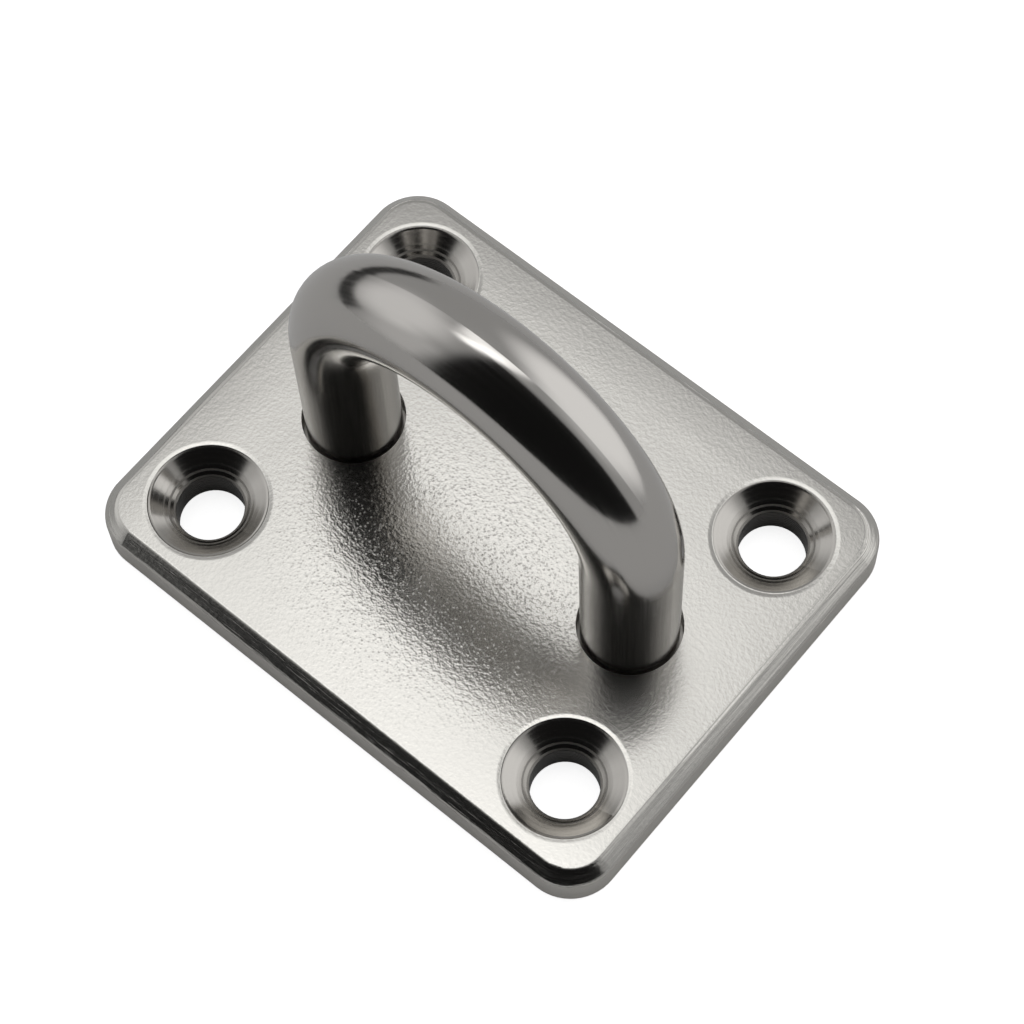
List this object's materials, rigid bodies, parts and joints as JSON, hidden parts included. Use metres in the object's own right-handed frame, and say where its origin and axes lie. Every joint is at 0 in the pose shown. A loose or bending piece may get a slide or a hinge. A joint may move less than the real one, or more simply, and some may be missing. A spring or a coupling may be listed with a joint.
{
  "type": "hammock hook eye plate",
  "caption": "Rectangular base plate with countersunk screw holes and a welded round-bar loop, an anchor for a hammock's hook, snap link or rope.",
  "frame": {"origin": "middle of the plate's back face, which bolts against the wall or post", "axes": "+Z out of the plate towards the loop's crown, +X along the plate's long side and the loop's plane, +Y along its short side"},
  "size_m": [0.05, 0.0394, 0.0348],
  "materials": {
    "plate_stainless": "satin, lightly grained by tumbling",
    "bar_stainless": "bright polished",
    "weld_stainless": "ground flush with the plate's back"
  },
  "bodies": {
    "root": {"base_plate": "plate_stainless", "loop_bar": "bar_stainless", "leg_weld_left": "weld_stainless", "leg_weld_right": "weld_stainless"}
  },
  "joints": []
}
